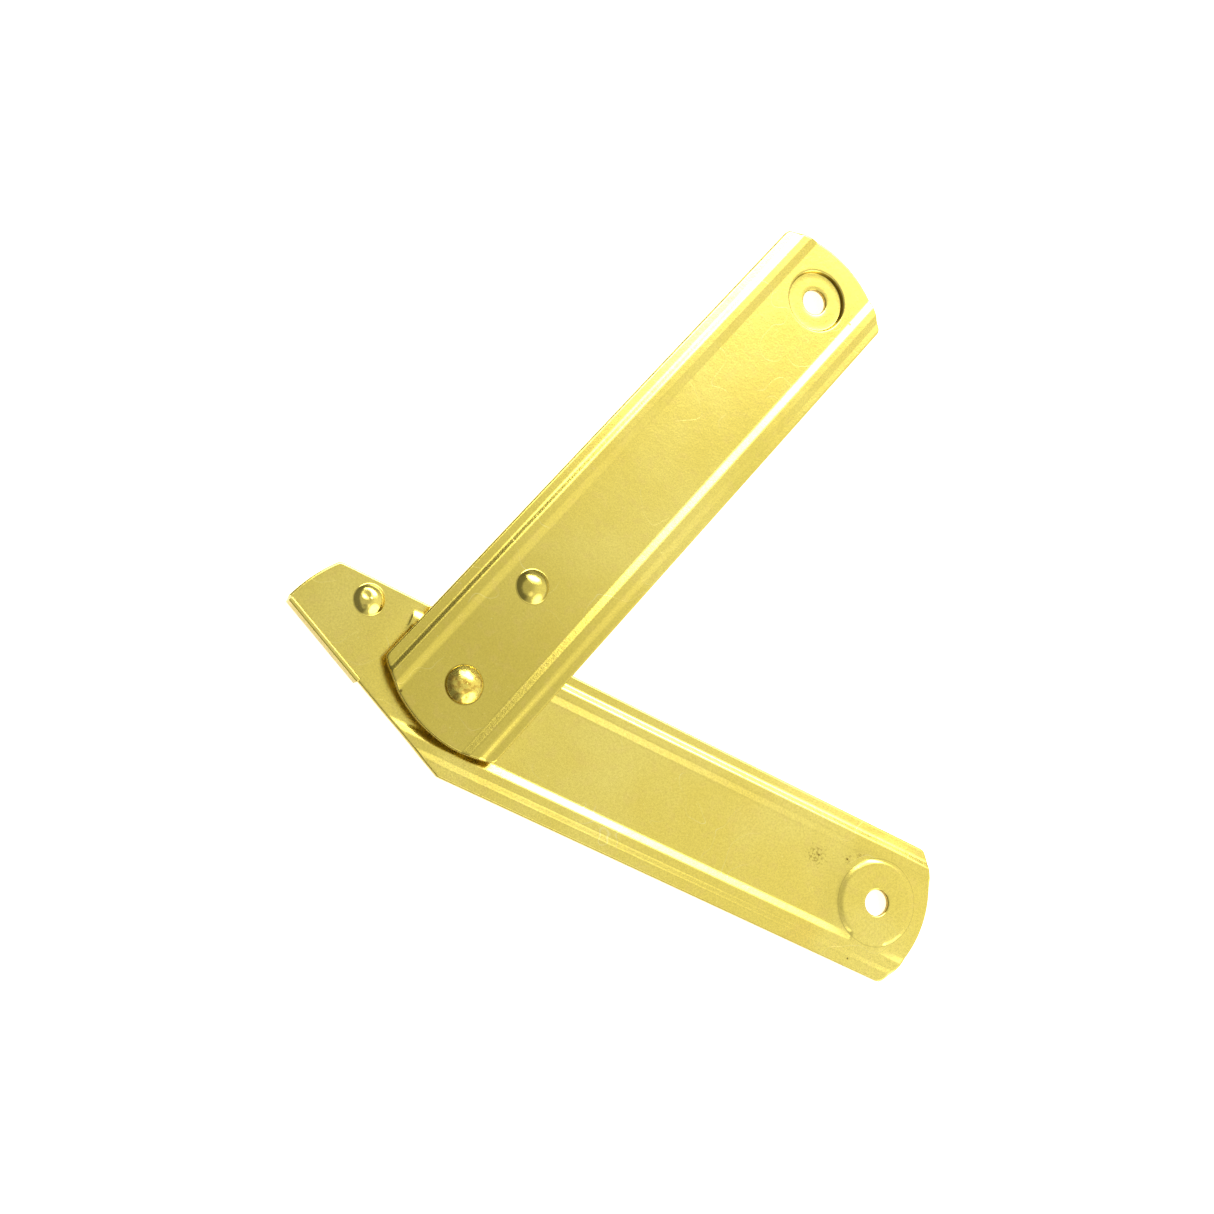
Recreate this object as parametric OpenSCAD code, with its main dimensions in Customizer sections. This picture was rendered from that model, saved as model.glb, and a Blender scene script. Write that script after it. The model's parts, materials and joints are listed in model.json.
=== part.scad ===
// Casement window stay: two pressed sheet-steel arms that swing on one rivet.
// The origin is the centre of the lower arm's screw hole, on the underside of the raised seat
// round it. +X runs along the lower arm, away from the rivet, and +Z is the rivet's axis.

/* [Arms] */
// Width of both arms
arm_w = 28; // [26:0.5:32]
// Distance along the lower arm from the rivet to the screw hole
lower_reach = 95; // [80:1:120]
// Distance from the rivet to the upper arm's screw hole
upper_reach = 109; // [90:1:140]
// Sideways distance from the lower arm's centre line to the rivet
rivet_offset = 2.9; // [1:0.1:4]
// Thickness of the sheet
sheet_t = 1; // [0.8:0.1:1.2]
// Gap that the spacer keeps between the two arms
arm_gap = 1.5; // [1.5:0.1:2.5]
// Length of the lower arm past its screw hole
lower_over = 11.6; // [11:0.1:14]
// Length of the upper arm past its screw hole, and past the rivet
upper_over = 10.8; // [10:0.1:14]
// Radius of the arc across the end of the lower arm
lower_end_r = 22; // [18:0.5:30]
// Radius of the arcs across the ends of the upper arm
upper_end_r = 24; // [18:0.5:30]
// Radius of the corners at the ends
corner_r = 1.4; // [0.5:0.1:3]

/* [Pressed beads] */
// Height of the stiffening beads and of the seat round the lower screw hole
bead_h = 0.5; // [0.3:0.05:0.5]
// Flat strip outside each bead, the bead's outer slope, flat top and inner slope: upper arm
upper_bead = [1.85, 1.0, 1.75, 1.3]; // [0.9:0.05:2.2]
// The same four widths on the lower arm
lower_bead = [2.05, 1.2, 1.55, 1.65]; // [0.9:0.05:2.2]
// Distance from the rivet to the blunt end of the lower arm's inner bead
bead_start = 13.6; // [12.5:0.1:16]

/* [Screw holes] */
// Diameter of the two screw holes
screw_d = 5.1; // [4:0.1:6]
// Diameter of the flat top of the lower arm's raised seat
seat_d = 15.5; // [12:0.1:16]
// Width of the slope round that seat
seat_slope = 0.8; // [0.5:0.1:1.2]
// Diameter of the round pocket in the upper arm
pocket_d = 12.2; // [10:0.1:13]
// Depth of that pocket
pocket_depth = 0.9; // [0.5:0.1:0.9]
// Thickness of the pocket's wall
pocket_wall = 0.5; // [0.4:0.1:1]

/* [Opening] */
// Angle between the arms as modelled
rest_angle = 70.5; // [30:0.5:120]
// Angle between the arms when the upper arm is against the stop
open_angle = 154.7; // [150:0.1:158]
// Distance from the rivet to the two catch domes
dome_reach = 22.8; // [21:0.1:24]
// Angle from the upper arm's centre line to its dome
dome_angle = 7.4; // [5:0.1:9]
// Height of the catch domes
dome_h = 1.3; // [0.8:0.1:1.3]
// Diameter at the foot of the upper arm's dome
upper_dome_d = 6.5; // [6:0.1:7]
// Diameter at the foot of the tail's dome
tail_dome_d = 5.8; // [5:0.1:6]

/* [Tail and stop] */
// Radius of the arc across the end of the tail
tail_end_r = 30; // [28:0.5:32]
// Centre of that arc, measured from the rivet
tail_end_c = [-7, -9]; // [-10:0.5:-6]
// Height of the stop flange above the underside of the arm
stop_h = 3.45; // [3:0.05:4]
// Distance along the tail's slanted edge from the rivet to the start of the stop flange
stop_start = 12.9; // [12:0.1:16]
// Length of the stop flange
stop_len = 19.1; // [14:0.1:20]

/* [Rivet and spacer] */
// Diameter of the rivet's shank
shank_d = 4; // [3:0.1:5]
// Diameter of the rivet's domed head
head_d = 7; // [6:0.1:8]
// Height of the domed head
head_h = 1.9; // [1.2:0.1:2.5]
// Diameter of the head formed under the lower arm
tail_head_d = 6.4; // [5.5:0.1:7]
// Height of the formed head
tail_head_h = 1.2; // [0.8:0.1:1.6]
// Outside diameter of the spacer
spacer_d = 9; // [8:0.2:9]

/* [Hidden] */
$fn = 96;
eps = 0.01;
half_w = arm_w / 2;
pivot = [-lower_reach, rivet_offset];
// Radial clearance of the bore that turns on the shank, and end play of the upper arm
running_gap = 0.05;
end_play = 0.03;
// Undersides of the two arms
lower_z = -bead_h;
upper_z = lower_z + sheet_t + arm_gap + end_play;
// Clearance of the stop and of the tail's slanted edge beside the opened upper arm
stop_gap = 0.05;
edge_gap = 0.1;
skirt_h = 0.5;
gold = [0.82, 0.73, 0.38];

// Points of an arc about c, from angle a0 to a1
function arc(c, r, a0, a1, n) =
    [for (i = [0:n]) let (a = a0 + (a1 - a0) * i / n) c + r * [cos(a), sin(a)]];

// Outline of an arm's end: a shallow arc that meets the long edges in two rounded corners
function arm_end(tip, r) =
    let (c = [tip - r, 0], y = half_w - corner_r, x = sqrt((r - corner_r) ^ 2 - y ^ 2),
         a = atan2(y, x))
    concat(arc(c + [x, -y], corner_r, -90, -a, 6), arc(c, r, -a, a, 24),
           arc(c + [x, y], corner_r, a, 90, 6));

// Outline of the tail: the top corner, the end arc and the slanted edge beside the stop
function tail_outline() =
    let (c = pivot + tail_end_c, y = half_w - corner_r - c[1],
         x = sqrt((tail_end_r - corner_r) ^ 2 - y ^ 2), a0 = atan2(y, -x),
         n = open_angle + 90, edge = half_w + edge_gap,
         a1 = n - acos((edge - tail_end_c * [cos(n), sin(n)]) / tail_end_r),
         foot = [pivot[0] + (edge + (half_w + pivot[1]) * sin(n)) / cos(n), -half_w])
    concat(arc(c + [-x, y], corner_r, 90, a0, 6), arc(c, tail_end_r, a0, a1, 12), [foot]);

function turned(points) = [for (p = points) -p];

// Height of the pressed surface across an arm, from one long edge to the other
function bead_half(b) =
    let (y1 = -half_w + b[0], y2 = y1 + b[1], y3 = y2 + b[2], y4 = y3 + b[3])
    [[-half_w - 1, 0], [y1, 0], [y2, bead_h], [y3, bead_h], [y4, 0]];

function bead_across(b) =
    let (left = bead_half(b)) concat(left, [for (i = [4:-1:0]) [-left[i][0], left[i][1]]]);

function raised(points, z) = [for (p = points) [p[0], p[1] + z]];

function reversed(points) = [for (i = [len(points) - 1:-1:0]) points[i]];

// Sheet of even thickness with two beads, running along X from x0 to x1
module beaded_sheet(b, x0, x1) {
    top = raised(bead_across(b), sheet_t);
    translate([x0, 0, 0]) rotate([90, 0, 90]) linear_extrude(x1 - x0)
        polygon(concat(bead_across(b), reversed(top)));
}

// Ball whose cap, cut at z = 0, has the diameter d and the height h
module cap_ball(d, h, wall = 0) {
    r = (d * d / 4 + h * h) / (2 * h);
    translate([0, 0, h - r]) sphere(r - wall);
}

// Domed catch standing on z = 0 on top of the sheet
module catch_dome(d) {
    intersection() {
        cap_ball(d, dome_h);
        translate([0, 0, -sheet_t / 2]) cylinder(d = d + 2, h = sheet_t / 2 + dome_h + 1);
    }
}

// Hollow pressed under a catch dome
module catch_hollow(d) {
    intersection() {
        cap_ball(d, dome_h, 0.8 * sheet_t);
        translate([0, 0, -sheet_t - 1]) cylinder(d = d + 2, h = sheet_t + dome_h + 2);
    }
}

module stop_flange() {
    translate([pivot[0], pivot[1], 0]) rotate(open_angle)
        translate([stop_start, half_w + stop_gap, 0]) cube([stop_len, sheet_t, stop_h]);
}

module at_tail_dome() {
    translate([pivot[0], pivot[1], 0]) rotate(open_angle + dome_angle)
        translate([dome_reach, 0, sheet_t]) children();
}

module lower_arm() {
    outline = concat(arm_end(lower_over, lower_end_r), tail_outline());
    inner_bead_y = half_w - lower_bead[0] - lower_bead[1] - lower_bead[2] / 2;
    bead_x = -lower_reach - bead_start;
    tail_x = -lower_reach - tail_end_r - half_w;
    color(gold) translate([0, 0, lower_z]) difference() {
        union() {
            intersection() {
                linear_extrude(2 * sheet_t + bead_h) polygon(outline);
                union() {
                    beaded_sheet(lower_bead, bead_x, lower_over + 1);
                    translate([tail_x, -arm_w, 0]) cube([bead_x - tail_x, 2 * arm_w, sheet_t]);
                }
            }
            // Wall that closes the blunt end of the bead
            translate([bead_x, inner_bead_y - lower_bead[2], 0])
                cube([sheet_t, 2 * lower_bead[2], sheet_t]);
            translate([0, 0, sheet_t])
                cylinder(d1 = seat_d + 2 * seat_slope, d2 = seat_d, h = bead_h);
            at_tail_dome() catch_dome(tail_dome_d);
            stop_flange();
        }
        translate([0, 0, -eps])
            cylinder(d1 = seat_d + 2 * seat_slope, d2 = seat_d, h = bead_h + eps);
        at_tail_dome() catch_hollow(tail_dome_d);
        cylinder(d = screw_d, h = 4 * sheet_t);
        translate([pivot[0], pivot[1], -sheet_t]) cylinder(d = shank_d, h = 4 * sheet_t);
    }
}

module upper_arm() {
    outline = concat(arm_end(upper_reach + upper_over, upper_end_r),
                     turned(arm_end(upper_over, upper_end_r)));
    color(gold) translate([pivot[0], pivot[1], upper_z]) rotate(rest_angle) difference() {
        union() {
            intersection() {
                linear_extrude(2 * sheet_t + bead_h) polygon(outline);
                beaded_sheet(upper_bead, -upper_over - 1, upper_reach + upper_over + 1);
            }
            translate([upper_reach, 0, -pocket_depth])
                cylinder(d = pocket_d + 2 * pocket_wall, h = pocket_depth + sheet_t / 2);
            rotate(dome_angle) translate([dome_reach, 0, sheet_t]) catch_dome(upper_dome_d);
        }
        translate([upper_reach, 0, sheet_t - pocket_depth])
            cylinder(d = pocket_d, h = 2 * sheet_t);
        translate([upper_reach, 0, -2 * sheet_t]) cylinder(d = screw_d, h = 4 * sheet_t);
        rotate(dome_angle) translate([dome_reach, 0, sheet_t]) catch_hollow(upper_dome_d);
        translate([0, 0, -sheet_t]) cylinder(d = shank_d + 2 * running_gap, h = 4 * sheet_t);
    }
}

module pivot_rivet() {
    head_z = upper_z + sheet_t + end_play;
    color(gold) translate([pivot[0], pivot[1], 0]) {
        translate([0, 0, lower_z]) cylinder(d = shank_d, h = head_z - lower_z);
        translate([0, 0, head_z]) cylinder(d = head_d, h = skirt_h);
        translate([0, 0, head_z + skirt_h]) intersection() {
            cap_ball(head_d, head_h - skirt_h);
            cylinder(d = head_d, h = head_h);
        }
        translate([0, 0, lower_z - tail_head_h])
            cylinder(d1 = tail_head_d - tail_head_h, d2 = tail_head_d, h = tail_head_h / 2);
        translate([0, 0, lower_z - tail_head_h / 2])
            cylinder(d = tail_head_d, h = tail_head_h / 2);
    }
}

module spacer_washer() {
    color(gold) translate([pivot[0], pivot[1], lower_z + sheet_t]) difference() {
        cylinder(d = spacer_d, h = arm_gap);
        translate([0, 0, -sheet_t]) cylinder(d = shank_d, h = arm_gap + 2 * sheet_t);
    }
}

lower_arm();
upper_arm();
pivot_rivet();
spacer_washer();
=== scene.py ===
"""Looks of a folding casement window stay in yellow-passivated pressed steel.

Two beaded sheet arms swing on one rivet. The shape functions work in millimetres in the row frame,
and make_piece() turns them into metres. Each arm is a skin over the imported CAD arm: a top and a
bottom grid of points, joined round the outline and through the holes by strips.
"""

import json
import math

import bpy
import numpy as np
from mathutils import Matrix, Vector


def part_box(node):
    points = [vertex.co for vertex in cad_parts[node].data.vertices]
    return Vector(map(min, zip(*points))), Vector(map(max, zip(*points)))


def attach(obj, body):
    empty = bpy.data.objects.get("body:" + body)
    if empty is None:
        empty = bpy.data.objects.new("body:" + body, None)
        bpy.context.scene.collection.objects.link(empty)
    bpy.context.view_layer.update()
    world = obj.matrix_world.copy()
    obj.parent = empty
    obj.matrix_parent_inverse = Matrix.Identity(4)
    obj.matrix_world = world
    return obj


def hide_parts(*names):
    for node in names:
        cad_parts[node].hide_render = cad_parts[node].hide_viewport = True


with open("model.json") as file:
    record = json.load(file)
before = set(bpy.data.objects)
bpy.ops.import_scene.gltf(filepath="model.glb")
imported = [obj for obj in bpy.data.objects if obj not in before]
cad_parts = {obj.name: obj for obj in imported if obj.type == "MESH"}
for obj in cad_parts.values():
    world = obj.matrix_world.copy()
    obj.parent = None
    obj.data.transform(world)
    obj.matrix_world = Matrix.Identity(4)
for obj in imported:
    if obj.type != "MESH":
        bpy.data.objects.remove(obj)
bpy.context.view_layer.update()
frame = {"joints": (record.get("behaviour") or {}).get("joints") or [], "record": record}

MM = 0.001
HINGE = frame["joints"][0]
MOUNTS = {mount["name"]: mount for mount in frame["record"]["mounts"]}


def box_mm(node):
    """Lowest and highest corner of a CAD node, in millimetres."""
    return [np.array(corner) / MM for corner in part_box(node)]


# ---- Sizes shared with the CAD model, in millimetres ----
SHEET = 1.0
LOWER_LOW, LOWER_HIGH = box_mm("lower_arm")
UPPER_LOW = box_mm("upper_arm")[0]
RIVET_LOW, RIVET_HIGH = box_mm("pivot_rivet")
SPACER_LOW, SPACER_HIGH = box_mm("spacer_washer")
HALF_WIDTH = -LOWER_LOW[1]
PIVOT = np.array(HINGE["pos_m"][:2]) / MM
SCREW_R = MOUNTS["lower_screw_hole"]["dims"]["r_mm"]
UPPER_SCREW = np.array(MOUNTS["upper_screw_hole"]["pos_m"][:2]) / MM
UPPER_REACH = float(np.hypot(*(UPPER_SCREW - PIVOT)))
REST_ANGLE = math.atan2(*(UPPER_SCREW - PIVOT)[::-1])
OPEN_ANGLE = REST_ANGLE + math.radians(HINGE["range_deg"][1])

# Rivet joint: the shank, the bores of the upper arm and the spacer, and the head formed below
SHANK_R = 2.0
UPPER_BORE_R = 2.05
SPACER_BORE_R = 2.02
FORMED_HEAD_R = 3.2

# Across an arm, from its long edge: flat strip, outer slope, flat top, inner slope
LOWER_BEAD = (2.05, 1.2, 1.55, 1.65)
UPPER_BEAD = (1.85, 1.0, 1.75, 1.3)
BEAD_H = 0.5
BEAD_START = PIVOT[0] - 13.6

# Rounded ends and their corners, and how far the upper arm reaches past its pivot and screw hole
LOWER_END_R = 22.0
UPPER_END_R = 24.0
CORNER_R = 1.4
UPPER_OVER = 10.8
TAIL_END_R = 30.0
TAIL_END_C = PIVOT + (-7, -9)

# Round the screw holes: the raised seat of the lower arm and the sunk pocket of the upper arm
SEAT_R = 7.75
SEAT_SLOPE = 0.8
POCKET_R = 6.1
POCKET_DEPTH = 0.9
POCKET_WALL = 0.5

# A hole's rolled upper edge, as rows of distance out from the bore and of height
RIM_OUT = 0.18, 0.08, 0.02, 0.0
RIM_UP = -0.035, -0.09, -0.18, -0.3

# Catch domes: their distance from the pivot and angle from the upper arm's line, height and radii
DOME_REACH = 22.8
DOME_ANGLE = math.radians(7.4)
DOME_H = 1.3
UPPER_DOME_R = 3.25
TAIL_DOME_R = 2.9

# Stop: where it starts and ends along the slanted edge, and that edge's gap to the open upper arm
STOP_START = 12.9
STOP_END = 32.0
EDGE_GAP = 0.1

# Heights of the flat webs' upper faces
LOWER_TOP = LOWER_LOW[2] + SHEET
UPPER_TOP = UPPER_LOW[2] + POCKET_DEPTH + SHEET

# ---- Marks of the press ----
# Rounding of a bead's bends, and the slope of the drooping long edge at the far end
BEND = 0.55
DROOP = 0.16

# Dents in the tail's dome, each as centre, radius and depth
TAIL_DENTS = [((-117.7, 10.3), 0.95, 0.30), ((-115.3, 8.5), 0.7, 0.18), ((-117.2, 8.2), 0.5, 0.10)]

# How far the sheet's rounded upper edge reaches in from the outline and down, and its burr below
ROLL_IN = 0.42
ROLL_DOWN = 0.3
BURR = 0.08


# ---- Small helpers on arrays ----
def polar(radius, angle):
    """Points at a radius and an angle, as x and y in the last direction of the array."""
    return np.stack([radius * np.cos(angle), radius * np.sin(angle)], axis=-1)


def smooth(value, low, high):
    """0 below low, 1 above high, and an S-shaped cubic between them."""
    share = np.clip((value - low) / (high - low), 0, 1)
    return share * share * (3 - 2 * share)


def rounded_line(x, places, heights, rounding):
    """Height at x of the polyline through places and heights, with its bends rounded.

    The rounded line is the polyline's running mean over the width rounding: the difference of its
    integral at the two ends of that width, divided by the width.
    """
    fine = np.linspace(places[0] - rounding - 1, places[-1] + rounding + 1, 4001)
    line = np.interp(fine, places, heights)
    total = np.concatenate([[0], np.cumsum((line[1:] + line[:-1]) / 2 * np.diff(fine))])
    x = np.clip(x, places[0] - rounding / 2 - 0.5, places[-1] + rounding / 2 + 0.5)
    ends = np.interp(x + rounding / 2, fine, total), np.interp(x - rounding / 2, fine, total)
    return (ends[0] - ends[1]) / rounding


def packed_lines(low, high, step, dense):
    """Positions from low to high, step apart and closer near each of the places in dense.

    A place is (position, half width, spacing). The lines are even steps of the running total of a
    density that is 1/step, and 1/spacing near each place.
    """
    fine = np.linspace(low, high, 6001)
    density = np.full_like(fine, 1 / step)
    for place, half_width, spacing in dense:
        near = smooth(half_width * 1.6 - np.abs(fine - place), 0, half_width * 0.6)
        density = np.maximum(density, near / spacing)
    total = np.concatenate([[0], np.cumsum((density[1:] + density[:-1]) / 2 * np.diff(fine))])
    return np.interp(np.linspace(0, total[-1], int(np.ceil(total[-1])) + 1), total, fine)


class Skin:
    """A closed surface gathered from grids of points: quads between the rows of index arrays."""

    def __init__(self):
        self.points = []
        self.quads = []
        self.fans = []
        self.count = 0

    def add(self, points):
        """Adds an array of points and returns their indices in the same layout."""
        points = np.asarray(points, float)
        rows = points.reshape(-1, 3)
        index = np.arange(self.count, self.count + len(rows)).reshape(points.shape[:-1])
        self.points.append(rows)
        self.count += len(rows)
        return index

    def span(self, index, closed=False, flip=False, keep=None):
        """Adds the quads between the neighbours of an index grid; closed joins its last column."""
        if closed:
            index = np.concatenate([index, index[:, :1]], axis=1)
        corners = [index[:-1, :-1], index[1:, :-1], index[1:, 1:], index[:-1, 1:]]
        if flip:
            corners.reverse()
        faces = np.stack(corners, axis=-1)
        self.quads.append(faces[keep] if keep is not None else faces.reshape(-1, 4))

    def close(self, loop, point, flip=False):
        """Closes a loop of indices with triangles to one more point."""
        tip = np.full(len(loop), self.add(point))
        around = [loop, np.roll(loop, -1), tip]
        if flip:
            around.reverse()
        self.fans.append(np.stack(around, axis=-1))

    def mesh(self, name):
        """The Blender mesh of the whole surface, in metres and smooth-shaded."""
        made = bpy.data.meshes.new(name)
        faces = np.concatenate(self.quads).tolist()
        if self.fans:
            faces += np.concatenate(self.fans).tolist()
        made.from_pydata((np.concatenate(self.points) * MM).tolist(), [], faces)
        made.shade_smooth()
        made.update()
        return made


def place(points, angle, centre, height):
    """Turns points by angle about the origin, moves them by centre, and lifts them by height."""
    turned = np.empty_like(points)
    turned[..., 0] = points[..., 0] * math.cos(angle) - points[..., 1] * math.sin(angle) + centre[0]
    turned[..., 1] = points[..., 0] * math.sin(angle) + points[..., 1] * math.cos(angle) + centre[1]
    turned[..., 2] = points[..., 2] + height
    return turned


# ---- The pressed form of a sheet ----
def bead_share(y, widths):
    """Share of the bead's height at the distance y from an arm's centre line, from 0 to 1."""
    bends = (HALF_WIDTH - np.cumsum(widths))[::-1]
    return rounded_line(np.abs(y), bends, (0, 1, 1, 0), BEND)


def merged(first, second):
    """Joins two shares of the same height, so that where either is 1 the result is 1."""
    return 1 - (1 - first) * (1 - second)


def dome_profile(radius, height, foot, rows):
    """Radii and heights of a ball's cap, from outside its foot to near its crown.

    The ball's radius is (r^2 + h^2) / 2h. The foot is a fillet of that width, a running mean of the
    cap's outline.
    """
    ball = (radius**2 + height**2) / (2 * height)
    round_foot = radius + foot * np.linspace(1.2, -0.6, 8)
    r = np.concatenate([round_foot, radius * np.linspace(0.85, 0.06, rows)])
    samples = np.linspace(-0.5, 0.5, 9) * foot
    at = np.clip(r[:, None] + samples, 0, None)
    cap = np.sqrt(np.clip(ball**2 - at**2, 0, None)) - (ball - height)
    return r, np.clip(cap, 0, None).mean(axis=1)


def narrowed(y, inset):
    """Lines across an arm, with those beyond the corners' centres drawn in for an inset outline."""
    start = HALF_WIDTH - CORNER_R
    past = np.clip(np.abs(y) - start, 0, None)
    return np.sign(y) * (np.minimum(np.abs(y), start) + past * (CORNER_R - inset) / CORNER_R)


def end_arc(y, tip, end_r, inset):
    """The x of an arm's rounded end at each y, with its corners, for an outline inset by inset.

    Between the corners it is the arc of radius end_r whose crown is at tip. Each corner is an arc
    of CORNER_R inside both that arc and the long edge.
    """
    centre = tip - end_r
    start = HALF_WIDTH - CORNER_R
    corner = centre + math.sqrt((end_r - CORNER_R) ** 2 - start**2)
    turn = start / (end_r - CORNER_R) * (end_r - inset)
    big = centre + np.sqrt(np.clip((end_r - inset) ** 2 - y**2, 0, None))
    small = corner + np.sqrt(np.clip((CORNER_R - inset) ** 2 - (np.abs(y) - start) ** 2, 0, None))
    return np.where(np.abs(y) < turn, big, small)


def block_round(points, centre, reach):
    """The block of grid cells round a centre, as slices along and across the arm.

    It is the smallest block whose four sides are at least reach from the centre.
    """
    nearest = np.argmin(np.abs(points[:, :, 1] - centre[1]).min(axis=0))
    x = points[:, nearest, 0]
    along = slice(np.searchsorted(x, centre[0] - reach) - 1, np.searchsorted(x, centre[0] + reach))
    y = points[(along.start + along.stop) // 2, :, 1]
    across = slice(np.searchsorted(y, centre[1] - reach) - 1, np.searchsorted(y, centre[1] + reach))
    return along, across


def edge_loop(grid):
    """The outer loop of a grid of indices or points, counterclockwise from its first corner."""
    return np.concatenate([grid[:-1, 0], grid[-1, :-1], grid[:0:-1, -1], grid[0, :0:-1]])


class Feature:
    """A round feature pressed in a sheet: where it is, and the outlines of its top and bottom.

    Each outline is a pair of arrays, radius and height above the sheet, from outside to inside.
    A hole's two outlines end on the same radius, and a closed feature's end at its crown.
    """

    def __init__(self, centre, reach, top, bottom, hole):
        self.centre = np.asarray(centre, float)
        self.reach = reach
        self.top = top
        self.bottom = bottom
        self.hole = hole


def pressed_round(skin, points, loop, feature, outline, form, lift, flip):
    """Fills the block round a feature with rings and returns the last one.

    The block's loop shrinks to the outline's first circle in even steps along the radii, and the
    outline is then carried round the centre. Every point's height is the sheet's form there plus
    the outline's own.
    """
    edge = points[loop]
    offset = edge[:, :2] - feature.centre
    angle = np.arctan2(offset[:, 1], offset[:, 0])
    radii, heights = outline
    share = np.linspace(1, 0, 5)[1:-1, None, None]
    ring = feature.centre + polar(radii[0], angle)
    steps = ring + (edge[:, :2] - ring) * share
    rings = feature.centre + polar(np.asarray(radii)[:, None], angle[None, :])
    flat = np.concatenate([steps, rings])
    rise = np.concatenate([np.zeros(len(share)), heights])[:, None]
    z = form(flat[..., 0], flat[..., 1]) + rise + lift
    rows = skin.add(np.concatenate([flat, z[..., None]], axis=-1))
    skin.span(np.concatenate([loop[None, :], rows]), closed=True, flip=flip)
    return rows[-1]


def pressed_arm(grid_at, form, features, edge_profile):
    """The skin of a pressed sheet, z = 0 at the top of its flat web.

    grid_at(inset) is the grid of x and y whose outline is drawn in by inset. form(x, y) is the
    height of the pressed surface. The underside has the same form, one thickness lower, and
    edge_profile(grid_at, form) gives the rows of the strip that joins the two outlines.
    """
    skin = Skin()
    rings, loops = [], []
    blocks = [block_round(grid_at(ROLL_IN), feature.centre, feature.reach) for feature in features]
    for inset, lift in ((ROLL_IN, 0.0), (BURR, -SHEET)):
        flat = grid_at(inset)
        z = form(flat[..., 0], flat[..., 1]) + lift
        index = skin.add(np.concatenate([flat, z[..., None]], axis=-1))
        known = np.concatenate(skin.points)
        keep = np.ones((flat.shape[0] - 1, flat.shape[1] - 1), bool)
        upward = lift == 0
        last_rings = []
        for feature, block in zip(features, blocks):
            along, across = block
            loop = edge_loop(index[along.start:along.stop + 1, across.start:across.stop + 1])
            keep[block] = False
            outline = feature.top if upward else feature.bottom
            ring = pressed_round(skin, known, loop, feature, outline, form, lift, flip=upward)
            last_rings.append(ring)
        skin.span(index, flip=not upward, keep=keep)
        rings.append(last_rings)
        loops.append(edge_loop(index))
    for feature, above, below in zip(features, *rings):
        if feature.hole:
            skin.span(np.stack([above, below]), closed=True, flip=True)
        else:
            skin.close(above, [*feature.centre, feature.top[1][-1]])
            skin.close(below, [*feature.centre, feature.bottom[1][-1] - SHEET], flip=True)
    rows = skin.add(edge_profile(grid_at, form))
    skin.span(np.concatenate([loops[0][None, :], rows, loops[1][None, :]]), closed=True)
    return skin


def plain_edge():
    """Rows of the plain edge, as insets and heights: a rounded upper edge, a wall and a small burr."""
    turn = np.radians(np.linspace(90, 0, 7))[1:]
    inset = np.concatenate([ROLL_IN * (1 - np.cos(turn)), [0, 0, BURR * 0.3]])
    drop = np.concatenate([ROLL_DOWN * (1 - np.sin(turn)), [0.55, SHEET - BURR, SHEET - BURR * 0.3]])
    return inset, -drop


def plain_strip(grid_at, form):
    """The strip round an arm's outline: the plain edge carried along it, above the sheet's form."""
    rows = []
    for inset, height in zip(*plain_edge()):
        flat = edge_loop(grid_at(inset))
        z = form(flat[:, 0], flat[:, 1]) + height
        rows.append(np.concatenate([flat, z[:, None]], axis=-1))
    return np.stack(rows)


def packed_rows(stations, shares):
    """Rows of points from each station to the next, at the given shares of the way between them.

    A station is a line of points across the arm. The last row is the last station.
    """
    rows = []
    for start, end, share in zip(stations, stations[1:], shares):
        share = share[:-1, None, None]
        rows.append(start * (1 - share) + end * share)
    return np.concatenate([*rows, stations[-1][None]])


def straight_line(x, y):
    """A station straight across an arm: every y at the one x."""
    return np.stack([np.full_like(y, x), y], axis=-1)


# ---- Lower arm ----
# The slanted edge: its direction, its outward normal, and its point beside the pivot
SLANT = polar(1.0, OPEN_ANGLE)
SLANT_OUT = polar(1.0, OPEN_ANGLE + math.pi / 2)
SLANT_START = PIVOT + SLANT_OUT * (HALF_WIDTH + EDGE_GAP)
TAIL_DOME = PIVOT + polar(DOME_REACH, OPEN_ANGLE + DOME_ANGLE)

# Where the lines across the arm stop fanning out: past the rivet, and past the screw hole
LOWER_FANS = PIVOT[0] + 7, 3.0

# Distance between the lines across either arm where nothing asks for more of them
LINE_STEP = 0.7


def bead_lines(widths):
    """Lines across an arm, close together at every bend of its beads and along its long edges."""
    bends = HALF_WIDTH - np.cumsum(widths)
    dense = [(side * bend, 0.5, 0.11) for bend in bends for side in (-1, 1)]
    dense += [(side * HALF_WIDTH, 0.9, 0.12) for side in (-1, 1)]
    return dense


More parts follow.
